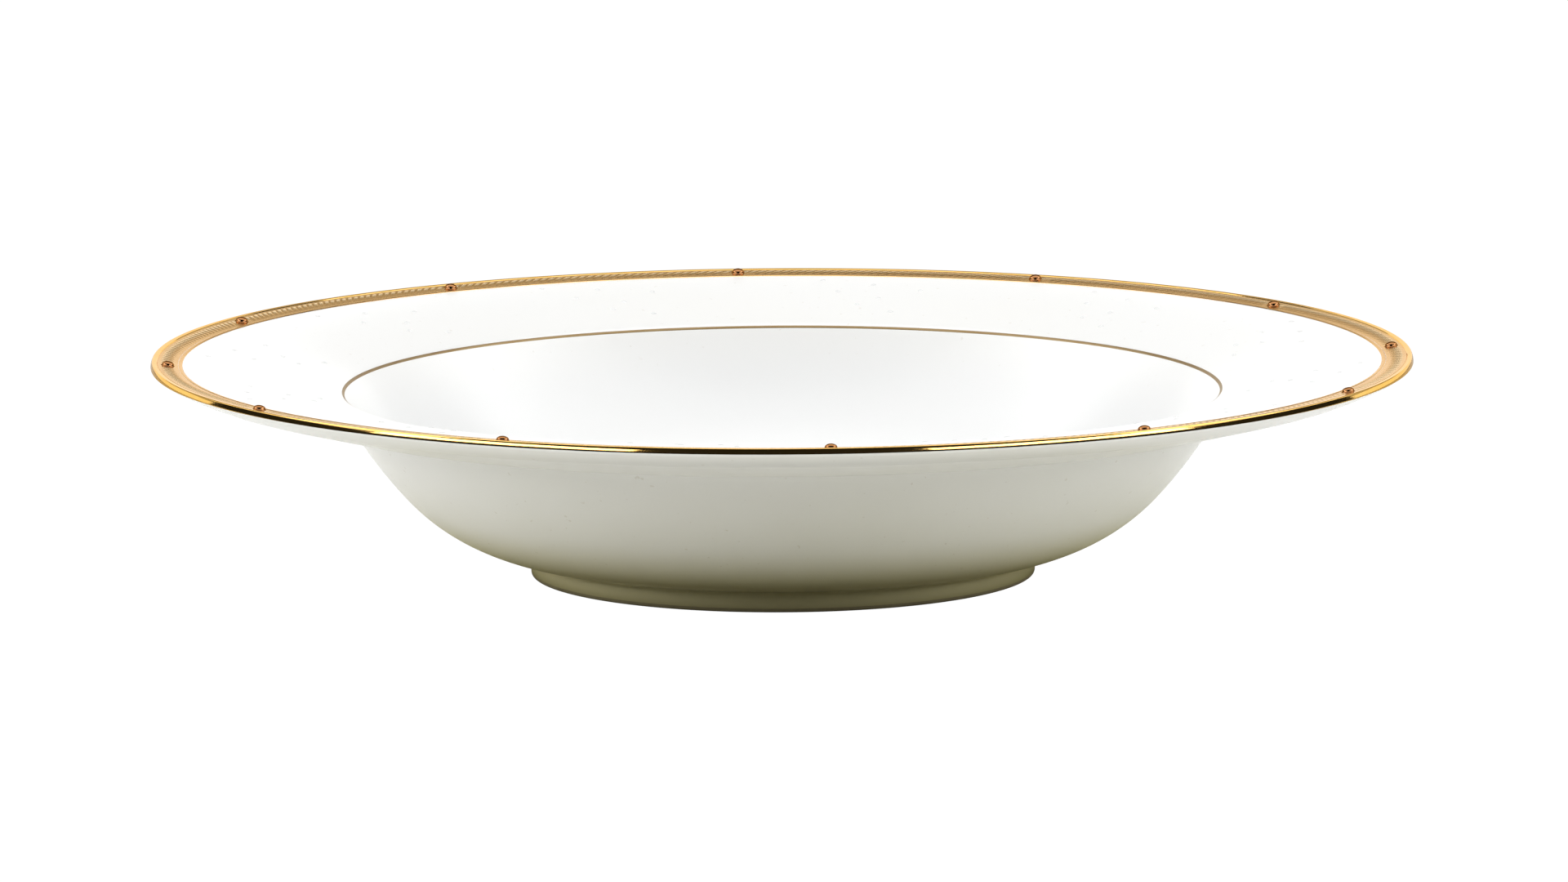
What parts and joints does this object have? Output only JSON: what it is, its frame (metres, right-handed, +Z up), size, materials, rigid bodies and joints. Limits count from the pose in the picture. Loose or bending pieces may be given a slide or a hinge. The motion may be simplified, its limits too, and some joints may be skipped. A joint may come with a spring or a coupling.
{
  "type": "rimmed serving bowl",
  "caption": "Shallow round porcelain bowl with a wide sloping rim, a deep well and a turned foot ring, edged in gold with raised beads and twisted-rope relief.",
  "frame": {"origin": "centre of the plane that the foot ring stands on", "axes": "+Z up along the bowl's turning axis; the gold beads start 4.3 degrees from +X, one every 30 degrees"},
  "size_m": [0.216, 0.216, 0.0382],
  "materials": {
    "china_body": "fired bone china, matt where it is left bare on the foot",
    "clear_glaze": "clear glossy glaze over warm white china",
    "burnished_gold": "polished gilding",
    "bead_gold": "darker gilding over raised beads",
    "satin_gold": "satin gilding over raised relief",
    "line_gold": "fine hand-lined gold",
    "white_enamel": "raised white enamel dots"
  },
  "bodies": {
    "root": {"bowl_body": "china_body", "foot_ring": "china_body", "inside_glaze": "clear_glaze", "outside_glaze": "clear_glaze", "foot_recess_glaze": "clear_glaze", "lip_gold_edge": "burnished_gold", "gold_band": "satin_gold", "band_inner_line": "satin_gold", "verge_gold_line": "line_gold", "gold_bead_01": "bead_gold", "gold_bead_02": "bead_gold", "gold_bead_03": "bead_gold", "gold_bead_04": "bead_gold", "gold_bead_05": "bead_gold", "gold_bead_06": "bead_gold", "gold_bead_07": "bead_gold", "gold_bead_08": "bead_gold", "gold_bead_09": "bead_gold", "gold_bead_10": "bead_gold", "gold_bead_11": "bead_gold", "gold_bead_12": "bead_gold", "rope_span_01": "satin_gold", "rope_span_02": "satin_gold", "rope_span_03": "satin_gold", "rope_span_04": "satin_gold", "rope_span_05": "satin_gold", "rope_span_06": "satin_gold", "rope_span_07": "satin_gold", "rope_span_08": "satin_gold", "rope_span_09": "satin_gold", "rope_span_10": "satin_gold", "rope_span_11": "satin_gold", "rope_span_12": "satin_gold", "enamel_spray_01": "white_enamel", "enamel_spray_02": "white_enamel", "enamel_spray_03": "white_enamel", "enamel_spray_04": "white_enamel", "enamel_spray_05": "white_enamel", "enamel_spray_06": "white_enamel", "enamel_spray_07": "white_enamel", "enamel_spray_08": "white_enamel", "enamel_spray_09": "white_enamel", "enamel_spray_10": "white_enamel", "enamel_spray_11": "white_enamel", "enamel_spray_12": "white_enamel"}
  },
  "joints": []
}
